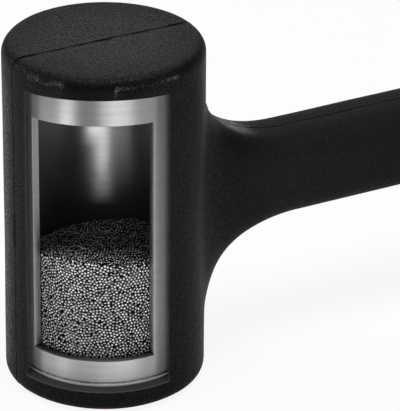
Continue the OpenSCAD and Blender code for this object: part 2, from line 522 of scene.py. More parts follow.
@dataclass(frozen=True)
class BrushedTube:
    """Drawn steel with fine brushing round it.

    It is hazy outside, painted paler low down and darker high up for how the bands catch the light,
    with a streak of painted shade in the upper band, brighter in its bore, and painted shade on the
    port's sill.
    """

    name: str = "brushed_tube"
    # The outside is painted paler low down and darker high up: painted light for the lower band's brighter
    # reflection.
    low_tone: float = 0.47
    high_tone: float = 0.33
    tone_z: Pair = (10.0, 60.0)
    # The sill is painted shade: the port's lower wall is painted dark where it lies in shadow.
    soot_and_shade: float = 0.08
    sill_z: Pair = (16.7, 17.1)
    bore: float = 0.5
    roughness: float = 0.43
    bore_roughness: float = 0.355
    gloss_spread: float = 0.08
    haze: float = 0.5
    bore_haze: float = 0.035
    wall_r: float = 27.0
    wall_blend: float = 0.5
    brush: float = 0.82
    brush_turn: float = 0.25
    streak_stretch: Triple = (0.035, 0.035, 4.2)
    streak_roughness: float = 0.65
    streak_depth: float = 0.006
    streak_wear: float = 0.45
    band_stretch: Triple = (0.02, 0.02, 0.7)
    band_wear: float = 0.25
    stain_scale: float = 0.16
    fine_detail: float = 3.0
    wear: float = 0.25
    wear_tone: float = 0.08
    # A streak of painted shade in the upper band's reflection, between its two highlights.
    painted_dark: float = 0.4
    painted_dark_from: Pair = (-138.0, -130.0)
    painted_dark_to: Pair = (-125.0, -111.0)
    painted_dark_z: Pair = (40.0, 60.0)

    def outside(self, paint: Paint, around: Sock, z: Sock) -> Sock:
        """Colour of the outside, painted paler low down, with the streak of painted shade.

        Args:
            paint: Board of the nodes.
            around: Angle round the head's axis.
            z: Height.

        Returns:
            The colour.
        """
        # Painted light: paler low down, darker high up.
        tone = paint.mix(paint.step(z, *self.tone_z), grey(self.low_tone), grey(self.high_tone))
        begun, ended = (paint.step(around, *np.radians(ends)) for ends in (self.painted_dark_from, self.painted_dark_to))
        # Painted shade: a darker streak on the upper band.
        painted_dark = (begun - ended) * paint.step(z, *self.painted_dark_z)
        return paint.mix(painted_dark * self.painted_dark, tone, grey(0.0))

    def material(self) -> bpy.types.Material:
        """Build the nodes: noise stretched round the tube makes streaks in colour, gloss and normal.

        Returns:
            The material.
        """
        paint = Paint(self.name)
        place = paint.place()
        x, y, z = paint.axes(place)
        wall = (self.wall_r - self.wall_blend, self.wall_r + self.wall_blend)
        inside = 1.0 - paint.step(paint.radius(x, y), *wall)
        streak = paint.noise(paint.place(self.streak_stretch), 1.0, self.fine_detail, self.streak_roughness)
        band = paint.noise(paint.place(self.band_stretch), 1.0)
        stain = paint.noise(place, self.stain_scale, self.fine_detail)
        steel = paint.mix(inside, self.outside(paint, paint.around(x, y), z), grey(self.bore))
        wear = streak.swing(self.streak_wear) + band.swing(self.band_wear) + self.wear
        worn = paint.mix(wear, steel, grey(self.wear_tone))
        # Painted shade on the port's sill.
        sill = paint.skin() * (1.0 - paint.step(z, *self.sill_z))
        rough = self.roughness + inside * (self.bore_roughness - self.roughness)
        return paint.finish({
            "Base Color": paint.mix(sill, worn, grey(self.soot_and_shade)),
            "Metallic": 1.0 - self.haze * (1.0 - inside) - self.bore_haze * inside,
            "Roughness": rough + streak.swing(self.gloss_spread) + stain.swing(self.gloss_spread),
            "Anisotropic": self.brush,
            "Anisotropic Rotation": self.brush_turn,
            "Normal": paint.bump(streak, self.streak_depth),
        })


@dataclass(frozen=True)
class TurnedSteel:
    """Turned plug steel with tool rings that run round the axis."""

    light: float = 0.72
    dark: float = 0.5
    roughness: float = 0.4
    haze: float = 0.8
    ring_pitch: float = 0.35
    ring_share: float = 0.6
    ring_depth: float = 0.01
    stain_scale: float = 0.2
    stain_detail: float = 3.0
    stain_share: float = 0.4
    stain_gloss: float = 0.2

    def material(self) -> bpy.types.Material:
        """Build the nodes: noise of the radius and the height makes the rings.

        Returns:
            The material.
        """
        paint = Paint("turned_steel")
        place = paint.place()
        x, y, z = paint.axes(place)
        along = {"W": (paint.radius(x, y) + z) * (1.0 / self.ring_pitch), "Scale": 1.0, "Detail": 2.0}
        ring = paint.node("ShaderNodeTexNoise", along, noise_dimensions="1D")
        stain = paint.noise(place, self.stain_scale, self.stain_detail)
        share = ring * self.ring_share + stain * self.stain_share
        return paint.finish({
            "Base Color": paint.mix(share, grey(self.dark), grey(self.light)),
            "Metallic": 1.0 - self.haze,
            "Roughness": self.roughness + stain.swing(self.stain_gloss),
            "Normal": paint.bump(ring, self.ring_depth),
        })


@dataclass(frozen=True)
class WeldBead:
    """Dull weld metal, sooty in patches, with small ripples."""

    # On the weld this dark level is soot.
    soot_and_shade: float = 0.28
    metal: float = 0.48
    clean: Pair = (0.35, 0.7)
    roughness: float = 0.4
    blotch_scale: float = 0.7
    blotch_detail: float = 3.0
    blotch_gloss: float = 0.3
    ripple_scale: float = 1.1
    ripple_depth: float = 0.03

    def material(self) -> bpy.types.Material:
        """Build the nodes: blotches mix soot into the metal, and cells make the ripples.

        Returns:
            The material.
        """
        paint = Paint("weld_bead")
        place = paint.place()
        blotch = paint.noise(place, self.blotch_scale, self.blotch_detail)
        ripple = paint.cells(place, self.ripple_scale)
        return paint.finish({
            "Base Color": paint.mix(paint.step(blotch, *self.clean), grey(self.soot_and_shade), grey(self.metal)),
            "Metallic": 1.0,
            "Roughness": self.roughness + blotch.swing(self.blotch_gloss),
            "Normal": paint.bump(ripple, self.ripple_depth),
        })


@dataclass(frozen=True)
class BarSteel:
    """Plain bar steel with mill scale and drawing marks along X."""

    scale_tone: float = 0.12
    scale: Speckle = Speckle(0.25, 0.4, 0.65, detail=4.0, roughness=0.6)
    bright: float = 0.36
    roughness: float = 0.42
    mark_stretch: Triple = (0.04, 2.5, 2.5)
    mark_gloss: float = 0.25
    mark_depth: float = 0.02

    def material(self) -> bpy.types.Material:
        """Build the nodes: long noise makes the drawing marks, clouds make the scale.

        Returns:
            The material.
        """
        paint = Paint("bar_steel")
        marks = paint.noise(paint.place(self.mark_stretch), 1.0)
        clean = self.scale.mask(paint, paint.place())
        return paint.finish({
            "Base Color": paint.mix(clean, grey(self.scale_tone), grey(self.bright)),
            "Metallic": 1.0,
            "Roughness": self.roughness + marks.swing(self.mark_gloss),
            "Normal": paint.bump(marks, self.mark_depth),
        })


@dataclass(frozen=True)
class RoundShot:
    """Round steel shot, each ball its own tone: painted light on its open side, painted shade to the gaps.
    """

    name: str = "round_shot"
    # painted_gap_shade is painted shade on each ball towards its neighbours.
    painted_gap_shade: float = 0.014
    dark: float = 0.33
    bright: float = 0.62
    # Over this range of the ball's height towards its pole, painted light takes over from the painted
    # shade.
    painted_light: Pair = (0.45, 0.85)
    roughness: float = 0.3
    ball_scale: float = 0.75
    ball_spread: Pair = (0.3, 0.7)
    ball_gloss: float = 0.2
    scratch_scale: float = 6.0
    scratch_gloss: float = 0.1
    scratch_depth: float = 0.01

    def material(self) -> bpy.types.Material:
        """Build the nodes: noise as wide as a ball changes its tone; painted shade takes over towards the
        gaps.

        Returns:
            The material.
        """
        paint = Paint(self.name)
        place = paint.place()
        ball = paint.noise(place, self.ball_scale, 0.0)
        scratch = paint.noise(place, self.scratch_scale)
        steel = paint.mix(paint.step(ball, *self.ball_spread), grey(self.dark), grey(self.bright))
        return paint.finish({
            "Base Color": paint.mix(paint.step(paint.skin(), *self.painted_light), grey(self.painted_gap_shade), steel),
            "Metallic": 1.0,
            "Roughness": self.roughness + ball.swing(self.ball_gloss) + scratch.swing(self.scratch_gloss),
            "Normal": paint.bump(scratch, self.scratch_depth),
        })


@dataclass(frozen=True)
class ShotShade:
    """Painted shade: the dark depth of the heap between its outer balls, with the pattern of the balls
    below.
    """

    # Levels of painted shade: darkest in the gaps, a little lighter on the balls' tops.
    gap: float = 0.004
    ball: float = 0.02
    pitch: float = 1.05
    ball_r: Pair = (0.1, 0.6)
    ball_depth: float = 0.4
    roughness: float = 0.9
    ball_gloss: float = 0.3
    gloss_level: float = 0.1

    def material(self) -> bpy.types.Material:
        """Build the nodes: a cell pattern of the shot's pitch sets tone and height.

        Returns:
            The material.
        """
        paint = Paint("shot_shade")
        round_top = 1.0 - paint.step(paint.cells(paint.place(), 1.0 / self.pitch), *self.ball_r)
        return paint.finish({
            "Base Color": paint.mix(round_top, grey(self.gap), grey(self.ball)),
            "Roughness": self.roughness - round_top * self.ball_gloss,
            "Specular IOR Level": self.gloss_level,
            "Normal": paint.bump(round_top, self.ball_depth),
        })


@dataclass
class Shell:
    """Welded mesh: points, four-sided and three-sided faces, and how far each point may weather."""

    points: Array
    quads: Array
    tris: Array
    soft: Array

    SKIN = "skin"
    TINY = 1e-12

    def normals(self) -> Array:
        """Unit normal of each point, the sum of its faces' area normals.

        Returns:
            One row per point.
        """
        total = np.zeros_like(self.points)
        for faces in (self.quads, self.tris):
            corner = self.points[faces]
            area = np.cross(corner[:, 2] - corner[:, 0], corner[:, -1] - corner[:, 1])
            for side in range(faces.shape[1]):
                np.add.at(total, faces[:, side], area)
        return total / np.maximum(np.linalg.norm(total, axis=1, keepdims=True), self.TINY)

    def piece(self, name: str, crease: float) -> bpy.types.Object:
        """Put the mesh into the scene.

        Args:
            name: Name of the piece.
            crease: Angle from which an edge stays sharp.

        Returns:
            The new object.
        """
        mesh = bpy.data.meshes.new(name)
        mesh.from_pydata((self.points * MM).tolist(), [], self.quads.tolist() + self.tris.tolist())
        mesh.attributes.new(self.SKIN, "FLOAT", "POINT").data.foreach_set("value", self.soft)
        mesh.shade_smooth()
        mesh.set_sharp_from_angle(angle=math.radians(crease))
        piece = bpy.data.objects.new(name, mesh)
        bpy.context.scene.collection.objects.link(piece)
        return piece


class Skin:
    """Closed surface that is gathered from grids and welded where their edges meet."""

    WELD = 0.0005
    NUDGE = 0.317

    def __init__(self) -> None:
        """Start with nothing."""
        self._points: list[Array] = []
        self._quads: list[Array] = []
        self._soft: list[Array] = []
        self._count = 0

    def grid(self, points: Array, keep: Array | None = None, flip: bool = False,
             soft: float | Array = 0.0) -> None:
        """Add a grid of faces, whose normal is the column direction crossed with the row direction.

        Args:
            points: Rows and columns of points.
            keep: Which cells become faces, or all of them.
            flip: Whether the faces are turned over.
            soft: How far the points may weather, from 0 to 1, for all of them or for each row.
        """
        rows, columns = points.shape[:2]
        index = self._count + np.arange(rows * columns).reshape(rows, columns)
        cells = np.stack([index[:-1, :-1], index[:-1, 1:], index[1:, 1:], index[1:, :-1]], -1)
        cells = cells.reshape(-1, 4) if keep is None else cells[keep]
        self._quads.append(cells[:, ::-1] if flip else cells)
        self._points.append(points.reshape(-1, 3))
        self._soft.append(np.broadcast_to(np.reshape(soft, (-1, 1)), (rows, columns)).ravel())
        self._count += rows * columns

    def weld(self) -> Shell:
        """Merge points in the same place, make collapsed faces triangles, and drop what is left over.

        Returns:
            The welded mesh.
        """
        points = np.concatenate(self._points)
        keys = np.floor(points / self.WELD + self.NUDGE).astype(np.int64)
        _, first, where = np.unique(keys, axis=0, return_index=True, return_inverse=True)
        where = where.reshape(-1)
        soft = np.zeros(len(first))
        np.maximum.at(soft, where, np.concatenate(self._soft))
        faces = where[np.concatenate(self._quads)]
        same = faces == np.roll(faces, -1, axis=1)
        quads = faces[same.sum(1) == 0]
        bent, twin = faces[same.sum(1) == 1], same[same.sum(1) == 1].argmax(1)
        tris = np.take_along_axis(bent, (twin[:, None] + np.arange(1, 4)) % 4, axis=1)
        used = np.zeros(len(first), bool)
        used[quads] = True
        used[tris] = True
        renumber = np.cumsum(used) - 1
        return Shell(points[first][used], renumber[quads], renumber[tris], soft[used])


def border(grid: Array, rows: slice = slice(None), columns: slice = slice(None)) -> Array:
    """Closed loop of values round a block of a grid, along its first row first."""
    block = grid[rows, columns]
    return np.concatenate([block[0], block[1:, -1], block[-1, -2::-1], block[-2::-1, 0]])


def crossing(radius: float, low: float, half: Callable[[Array | float], Array],
             halvings: int = 50) -> Array:
    """Stations where the lines of a branch along X meet an upright cylinder.

    The square of a line's distance from the axis grows along X, so halving the range finds its root.

    Args:
        radius: Radius of the cylinder.
        low: Station inside the cylinder for every line.
        half: Function from stations to the sideways places of the lines.
        halvings: How often the range is halved.

    Returns:
        One station per line.
    """
    inner = np.full_like(half(low), low)
    outer = np.full_like(inner, radius)
    for _ in range(halvings):
        middle = (inner + outer) / 2
        short = middle**2 + half(middle) ** 2 < radius**2
        inner = np.where(short, middle, inner)
        outer = np.where(short, outer, middle)
    return (inner + outer) / 2


def collar(edge: Array, root: Array, radius: float, steps: Array) -> Array:
    """Rows of points on an upright cylinder, at steps between two loops of angles and heights."""
    way = edge + (root - edge) * steps[:, None, None]
    return polar(radius, way[..., 0], way[..., 1])


@dataclass(frozen=True)
class CutSlope:
    """Sloping plane of the upper edges of the window and the port, which rise outwards."""

    slope: float = 9.0
    az: float = -114.8

    def drop(self, rim: float, radius: Array | float, angle: Array) -> Array:
        """Depth of the plane below its height at the rim, in proportion to the way back from there."""
        return math.tan(math.radians(self.slope)) * (rim - radius * np.cos(angle - math.radians(self.az)))

    @staticmethod
    def taper(z: Array, stops: list[float], columns: int, ends: list[int], shares: list[int]) -> Array:
        """Share of the slope that each row and column of a grid takes, linear between given stops.

        Args:
            z: Heights of the rows.
            stops: Heights where the slope starts, is full and has faded out again.
            columns: Number of columns.
            ends: Columns between which the share changes.
            shares: Share at each of these columns.

        Returns:
            Shares in rows and columns.
        """
        return np.interp(z, stops, [0, 1, 0])[:, None] * np.interp(np.arange(columns), ends, shares)


@dataclass
class Jacket:
    """Urethane casting: the head with its window, the neck, the handle, and the room for the steel."""

    head_r: float = 31.75
    head_len: float = 114.3
    rim_r: float = 4.0
    waist: float = 0.2
    cavity_r: float = 28.05
    cavity_z: Pair = (5.15, 109.15)
    window_az: float = -123.2
    window_half: float = 22.25
    window_z: Pair = (7.8, 107.7)
    window_edge: float = 0.45
    cut: CutSlope = CutSlope()
    neck_edge: float = 62.0
    neck_half: float = 38.5
    butt_x: float = 323.85
    handle_h: float = 28.0
    handle_w: float = 27.0
    power: float = 3.1
    neck_x: float = 64.25
    neck_root_x: float = 30.25
    neck_follow: float = 0.28
    neck_rise: float = 26.0
    neck_r: float = 42.5
    hollow_x: float = 47.84
    loft_x: float = 20.2
    grip_x: float = 169.85
    grip_len: float = 130.0
    grip_swell: float = 1.4
    butt_len: float = 24.0
    butt_flare: float = 2.6
    flare_run: float = 0.75
    butt_r: float = 5.0
    groove_pitch: float = 8.0
    groove_w: float = 2.4
    groove_depth: float = 0.7
    grooves: int = 14
    core_gap: float = 0.05
    socket_r: float = 10.0
    socket_x: float = 52.0
    weld_x: float = 32.0
    weld_spread: float = 0.6
    rod_r: float = 6.35
    rod_end_x: float = 313.85
    washer_t: float = 4.0
    seam_w: float = 0.03
    seam_depth: float = 0.34
    seam_run: float = 4.0
    side_seam: float = 0.1
    seam_lip: float = 0.05
    handle_seam: float = 0.14
    handle_seam_run: float = 1.6
    seam_gap: float = 0.25
    seam_beat: float = 0.61
    seam_drift: float = 1.3
    drift_x: float = 0.17
    drift_z: float = 0.23
    wave: float = 0.07
    waves: tuple[tuple[float, ...], ...] = (
        (0.21, 0.13, 0.0, 0.8),
        (0.0, 0.17, -0.12, 2.1),
        (0.19, 0.0, 0.15, 4.0),
    )
    inset: float = 0.04
    wall_loop: float = 2.0
    bore_half: float = 40.0
    bore_room: float = 2.0
    groove_gap: float = 1.0
    root_share: float = 0.5
    root_reach: float = 9.0
    root_passes: int = 60
    crease: float = 38.0

    # Cells along each part of the grids, points along the handle, and powers that crowd some of them.
    NEAR, GAP, WINDOW, FAR = 20, 8, 44, 9
    BELOW, FOOT, BRANCH, CROWN = 3, 6, 36, 6
    RIM, DISC = 8, 22
    COLLAR, NECK = 14, 38
    SIDE, BORE, REAR = 8, 24, 30
    LID, FLOOR, BORE_COLLAR, CAP = 3, 4, 4, 8
    SHAFT_POINTS, GROOVE_POINTS, TAIL_POINTS, BUTT_POINTS = 36, 9, 18, 10
    SEAM_CROWD, DISC_CROWD, ROOT_CROWD = 1.6, 1.7, 1.5

    @property
    def mid_z(self) -> float:
        """Height of the handle's axis."""
        return self.head_len / 2

    @property
    def flat_r(self) -> float:
        """Radius of the flat part of a striking face."""
        return self.head_r - self.rim_r

    def side(self) -> Array:
        """Angles of the columns from the handle round to the far side.

        Columns crowd towards the mould seam at both ends, and in the window they stand at even
        sideways steps between its straight sides.

        Returns:
            Ascending angles in radians.
        """
        seam = math.asin(self.seam_w / self.flat_r)
        neck = math.radians(self.neck_edge)
        shift = np.linspace(1, -1, self.WINDOW + 1) * (self.window_half + self.window_edge)
        window = math.radians(-self.window_az) - np.arcsin(shift / self.head_r)
        near = seam + (neck - seam) * ease(self.NEAR, self.SEAM_CROWD)
        gap = np.linspace(neck, window[0], self.GAP + 1)
        last = math.pi - seam
        far = last - (last - window[-1]) * ease(self.FAR, self.SEAM_CROWD)[::-1]
        return chain(near, gap, window, far)

    def levels(self) -> tuple[Array, Array]:
        """Radius and height of the head's rows: lower rim, barrel, upper rim.

        Returns:
            Nominal radii and heights.
        """
        turn = np.linspace(0, math.pi / 2, self.RIM + 1)
        low, high = self.window_z[0] - self.window_edge, self.window_z[1] + self.window_edge
        stops = [self.rim_r, low, self.mid_z - self.neck_half, self.mid_z + self.neck_half, high,
                 self.head_len - self.rim_r]
        cells = [self.BELOW, self.FOOT, self.BRANCH, self.CROWN, self.BELOW]
        barrel = spaced(stops, cells)
        rim = self.rim_r * (1 - np.cos(turn))
        z = chain(rim, barrel, self.head_len - rim[::-1])
        arc = self.flat_r + self.rim_r * np.sin(turn)
        return chain(arc, np.full(len(barrel), self.head_r), arc[::-1]), z

    def drawn_in(self, z: Array) -> Array:
        """Waist of the barrel at height z, a parabola that ends at the rims."""
        half = self.mid_z - self.rim_r
        return self.waist * np.clip(1 - ((z - self.mid_z) / half) ** 2, 0, None)

    def head(self, skin: Skin) -> tuple[Array, Array]:
        """Add the barrel with its holes, the window's walls and both striking faces.

        A point of the barrel is at its column's angle and its row's height, on the radius of the row
        less the waist, which fades out towards the neck. Rows and columns round the window sink with
        its sloping upper edge, and that fades out on every side.

        Args:
            skin: Skin that takes the grids.

        Returns:
            Angles and heights along the loop round the neck's hole.
        """
        side = self.side()
        count = len(side)
        angle = np.concatenate([-side[::-1], side, [2 * math.pi - side[-1]]])
        base, z = self.levels()
        away = np.minimum(np.abs(angle), 2 * math.pi - np.abs(angle))
        first = self.NEAR + self.GAP
        fade = smooth((away - side[self.NEAR]) / (side[first] - side[self.NEAR]))
        radius = base[:, None] - self.drawn_in(z)[:, None] * fade
        angle = np.tile(angle, (len(z), 1))
        cut = slice(count - 1 - first - self.WINDOW, count - first)
        share = np.linspace(-1, 1, self.WINDOW + 1)
        reach = share * (self.window_half + self.window_edge)
        waisted = self.head_r - self.drawn_in(z)[:, None]
        angle[:, cut] = math.radians(self.window_az) + np.arcsin(reach / waisted)
        bottom = self.RIM + self.BELOW
        rows = slice(bottom, bottom + self.FOOT + self.BRANCH + self.CROWN + 1)
        neck_rows = slice(bottom + self.FOOT, bottom + self.FOOT + self.BRANCH + 1)
        neck = slice(count - 1 - self.NEAR, count + self.NEAR + 1)
        keep = np.ones((len(z) - 1, angle.shape[1] - 1), bool)
        keep[rows.start:rows.stop - 1, cut.start:cut.stop - 1] = False
        keep[neck_rows.start:neck_rows.stop - 1, neck.start:neck.stop - 1] = False
        stops = [z[rows.start], z[rows.stop - 1], self.head_len - self.rim_r]
        across = [0, cut.start, cut.stop - 1, cut.stop - 1 + self.GAP]
        sunk = self.cut.taper(z, stops, angle.shape[1], across, [0, 1, 1, 0])
        height = z[:, None] - sunk * self.cut.drop(self.head_r, radius, angle)
        skin.grid(polar(radius, angle, height), keep, soft=1.0)
        across = np.broadcast_to(share, (rows.stop - rows.start, len(share)))
        middle, half = middle_half(self.window_z)
        up = np.broadcast_to(((z[rows] - middle) / (half + self.window_edge))[:, None], across.shape)
        self.window_walls(skin, border(across), border(up))
        self.cavity(skin, share, up[:, 0])
        for level, over in ((self.head_len, False), (0.0, True)):
            self.face(skin, side, level, over)
        return border(angle, neck_rows, neck), border(height, neck_rows, neck)

    def face(self, skin: Skin, side: Array, level: float, over: bool) -> None:
        """Add a striking face as two halves and the strip of the mould seam between them.

        A half's point keeps its column's place along X and goes a share of the way from the seam to
        the rim along Y.

        Args:
            skin: Skin that takes the grids.
            side: Angles of the columns.
            level: Height of the face.
            over: Whether the face looks down.
        """
        x = self.flat_r * np.cos(side)
        rim = self.flat_r * np.sin(side)
        y = self.seam_w + ease(self.DISC, self.DISC_CROWD)[:, None] * (rim - self.seam_w)
        strip = np.stack([np.full_like(x, -self.seam_w), np.full_like(x, self.seam_w)])
        for rows, turned in ((-y, over), (y, not over), (strip, not over)):
            wide = np.broadcast_arrays(x, rows, level)
            skin.grid(np.stack(wide, -1), flip=turned, soft=1.0)

    def window_walls(self, skin: Skin, across: Array, up: Array) -> None:
        """Add the window's walls as loops from the rounded outer edge to the cavity.

        A loop's point lies at its share of the widened window, sideways and in height, on the
        loop's radius, and sinks with the sloping upper edge by its share in height.

        Args:
            skin: Skin that takes the grid.
            across: Sideways share of each point of the loop, from -1 to 1.
            up: Share of each point in height, from -1 to 1.
        """
        az = math.radians(self.window_az)
        middle, half = middle_half(self.window_z)
        edge, bend = self.window_edge, self.window_edge * (1 - math.cos(math.pi / 4))
        loops = []
        for depth, wide in ((0.0, edge), (bend, bend), (edge, 0.0), (self.wall_loop, 0.0), (None, 0.0)):
            z = middle + up * (half + wide)
            radius = self.cavity_r if depth is None else self.head_r - self.drawn_in(z) - depth
            angle = az + np.arcsin(across * (self.window_half + wide) / radius)
            loops.append(polar(radius, angle, z - (up + 1) / 2 * self.cut.drop(self.head_r, radius, angle)))
        skin.grid(np.stack(loops), soft=np.array([1.0, 0.5, 0.0, 0.0, 0.0]))

    def cavity(self, skin: Skin, across: Array, up: Array) -> None:
        """Add the room for the canister, with the window's hole and the bore for the handle's core.

        Args:
            skin: Skin that takes the grids.
            across: Sideways shares of the window's columns.
            up: Height shares of the window's rows.
        """
        az = math.radians(self.window_az)
        window = az + np.arcsin(across * self.window_half / self.cavity_r)
        bore = math.radians(self.bore_half)
        stops = [window[-1], -bore, bore, window[0] + 2 * math.pi]
        angle = chain(window, spaced(stops, [self.SIDE, self.BORE, self.REAR]))
        middle, half = middle_half(self.window_z)
        opening = middle + up * half
        lid = np.linspace(opening[-1], self.cavity_z[1], self.LID + 1)
        z = chain(np.array([self.cavity_z[0], opening[0]]), opening, lid)
        keep = np.ones((len(z) - 1, len(angle) - 1), bool)
        keep[1:len(opening), :self.WINDOW] = False
        reach = self.bore_room * self.socket_r
        first, last = np.searchsorted(z, [self.mid_z - reach, self.mid_z + reach])
        rows = slice(first, last + 1)
        columns = slice(self.WINDOW + self.SIDE, self.WINDOW + self.SIDE + self.BORE + 1)
        keep[rows.start:rows.stop - 1, columns.start:columns.stop - 1] = False
        wide, tall = np.meshgrid(angle, z)
        end = len(angle) - 1
        heights = [opening[0], opening[-1], self.cavity_z[1]]
        ends = [self.WINDOW, self.WINDOW + self.SIDE, end - self.SIDE, end]
        sunk = self.cut.taper(z, heights, len(angle), ends, [1, 0, 0, 1])
        tall -= sunk * self.cut.drop(self.head_r, self.cavity_r, angle)
        skin.grid(polar(self.cavity_r, wide, tall), keep, flip=True)
        for level, turned in ((self.cavity_z[0], False), (self.cavity_z[1], True)):
            rings = polar(self.cavity_r * np.linspace(1, 0, self.FLOOR + 1)[:, None], angle[None], level)
            skin.grid(rings, flip=turned)
        self.core_bore(skin, border(wide, rows, columns), border(tall, rows, columns))

    def core_bore(self, skin: Skin, angle: Array, z: Array) -> None:
        """Add the bore for the weld, socket, rod and washer, a stepped circle carried along X.

        Args:
            skin: Skin that takes the grid.
            angle: Angles along the loop round the bore's hole in the cavity.
            z: Heights along that loop.
        """
        turn = np.arctan2(z - self.mid_z, self.cavity_r * angle)
        socket, rod = self.socket_r + self.core_gap, self.rod_r + self.core_gap

        def weld_r(x: Array) -> Array:
            """Radius of the weld's cone at station x."""
            return socket + self.weld_spread * np.clip(self.weld_x - x, 0, None)

        root = crossing(self.cavity_r, self.loft_x, lambda x: weld_r(x) * np.cos(turn))
        foot = np.stack([np.arctan2(weld_r(root) * np.cos(turn), root),
                         self.mid_z + weld_r(root) * np.sin(turn)], -1)
        way = np.linspace(0, 1, self.BORE_COLLAR + 1)
        rows = collar(np.stack([angle, z], -1), foot, self.cavity_r, way)
        washer = self.rod_end_x - self.washer_t - self.core_gap
        end = self.rod_end_x + self.core_gap
        mouth = self.socket_x + self.core_gap
        stations = ((self.weld_x, socket), (mouth, socket), (mouth, rod), (washer, rod), (washer, socket),
                    (end, socket), (end, 0.0))
        x, r = np.array(stations).T
        tube = np.stack(np.broadcast_arrays(x[:, None], r[:, None] * np.cos(turn),
                                            self.mid_z + r[:, None] * np.sin(turn)), -1)
        skin.grid(np.concatenate([rows, tube]), flip=True)

    def growth(self, x: Array) -> Array:
        """Growth of the handle's section at station x: grip swell, butt flare, less the grip's grooves.

        Args:
            x: Stations along the handle.

        Returns:
            Growth on every side.
        """
        swell = np.sin(math.pi * np.clip((x - self.grip_x) / self.grip_len, 0, 1)) ** 2
        flare = smooth((x - self.butt_x + self.butt_len) / (self.butt_len * self.flare_run))
        first = self.groove_start()
        nearest = np.clip(np.round((x - first) / self.groove_pitch), 0, self.grooves - 1)
        off = np.abs(x - first - nearest * self.groove_pitch) / (self.groove_w / 2)
        groove = np.clip(1 - off**2, 0, None)
        return self.grip_swell * swell + self.butt_flare * flare - self.groove_depth * groove

    def groove_start(self) -> float:
        """Station of the first groove, so that the grooves sit in the middle of the grip."""
        return self.grip_x + (self.grip_len - (self.grooves - 1) * self.groove_pitch) / 2

    def halves(self, x: Array, back: Array | float = 0.0) -> tuple[Array, Array]:
        """Half height and half width of the section at station x.

        The top and underside follow a quarter ellipse into the head, the sides an arc, and the butt's
        end is rounded.

        Args:
            x: Stations along the handle.
            back: How far the ellipse's foot is set back with the barrel's round.

        Returns:
            Half heights and half widths.
        """
        t = np.clip((self.neck_x - x) / (self.neck_x - self.neck_root_x + back), 0, 1)
        spread = self.neck_rise * (1 - np.sqrt(1 - t * t))
        d = np.clip(self.hollow_x - x, 0, self.neck_r)
        hollow = self.neck_r - np.sqrt(self.neck_r**2 - d * d)
        past = np.clip(x - self.butt_x + self.butt_r, 0, self.butt_r)
        inset = self.butt_r - np.sqrt(self.butt_r**2 - past * past)
        size = self.growth(x) - inset
        return self.handle_h / 2 + spread + size, self.handle_w / 2 + hollow + size

    def stations(self) -> Array:
        """Stations of the handle's rings, close together in each groove and round the butt.

        Returns:
            Ascending stations.
        """
        first = self.groove_start() + np.arange(self.grooves) * self.groove_pitch
        groove = (first[:, None] + np.linspace(-0.5, 0.5, self.GROOVE_POINTS) * self.groove_w).reshape(-1)
        shaft = np.linspace(self.neck_x, groove[0] - self.groove_gap, self.SHAFT_POINTS)
        tail = np.linspace(groove[-1] + self.groove_gap, self.butt_x - self.butt_r, self.TAIL_POINTS)
        turn = np.linspace(0, math.pi / 2, self.BUTT_POINTS)
        butt = self.butt_x - self.butt_r + self.butt_r * np.sin(turn)
        return np.concatenate([shaft, groove, tail[:-1], butt])

    def handle(self, skin: Skin, angle: Array, z: Array) -> None:
        """Add the neck and handle as lines that run from the head's barrel to the butt.

        Each line keeps its share of the section's half width and half height, on a rounded square of
        the section's power. It starts on the barrel, meets the neck where the two cross, and the
        crease there is eased.

        Args:
            skin: Skin that takes the grid.
            angle: Angles along the loop round the neck's hole in the barrel.
            z: Heights along that loop.
        """
        corner = 0.5 ** (1 / self.power)
        wide = corner * angle / math.radians(self.neck_edge)
        tall = corner * (z - self.mid_z) / self.neck_half
        flat = np.abs(tall) >= np.abs(wide)
        rest_z = (1 - np.abs(wide) ** self.power) ** (1 / self.power)
        rest_y = (1 - np.abs(tall) ** self.power) ** (1 / self.power)
        cz = np.where(flat, np.sign(tall) * rest_z, tall)
        cy = np.where(flat, wide, np.sign(wide) * rest_y)
        root = crossing(self.head_r, self.loft_x, lambda x: self.halves(x)[1] * cy)
        back = self.neck_follow * (self.head_r - root)
        high, broad = self.halves(root, back)
        foot = np.stack([np.arctan2(broad * cy, root), self.mid_z + high * cz], -1)
        way = 1 - ease(self.COLLAR, self.ROOT_CROWD)[::-1]
        start = collar(np.stack([angle, z], -1), foot, self.head_r, way)
        neck = root + (self.neck_x - root) * ease(self.NECK, self.ROOT_CROWD)[1:, None]
        stations = self.stations()[1:, None]
        shaft = np.broadcast_to(stations, (len(stations), len(root)))
        x = np.concatenate([neck, shaft])
        high, broad = self.halves(x, back)
        rows = np.concatenate([start, np.stack([x, broad * cy, self.mid_z + high * cz], -1)])
        self.ease_root(rows)
        axis = np.array([self.butt_x, 0.0, self.mid_z])
        cap = axis + (rows[-1] - axis) * np.linspace(1, 0, self.CAP + 1)[1:, None, None]
        skin.grid(np.concatenate([rows, cap]), soft=1.0)

    def ease_root(self, rows: Array) -> None:
        """Round the crease between barrel and neck.

        Each pass moves a point towards the mean of its neighbours on its line, by a share that falls
        off as a bell on both sides of the crease, and then out to the barrel if it went inside.

        Args:
            rows: Rows of points along the lines, which are changed in place.
        """
        near = np.arange(len(rows)) - self.COLLAR
        share = self.root_share * np.exp(-((near / self.root_reach) ** 2))[1:-1, None, None]
        for _ in range(self.root_passes):
            rows[1:-1] += share * ((rows[:-2] + rows[2:]) / 2 - rows[1:-1])
            out = self.head_r / np.hypot(rows[..., 0], rows[..., 1])
            rows[..., :2] *= np.maximum(out, 1.0)[..., None]

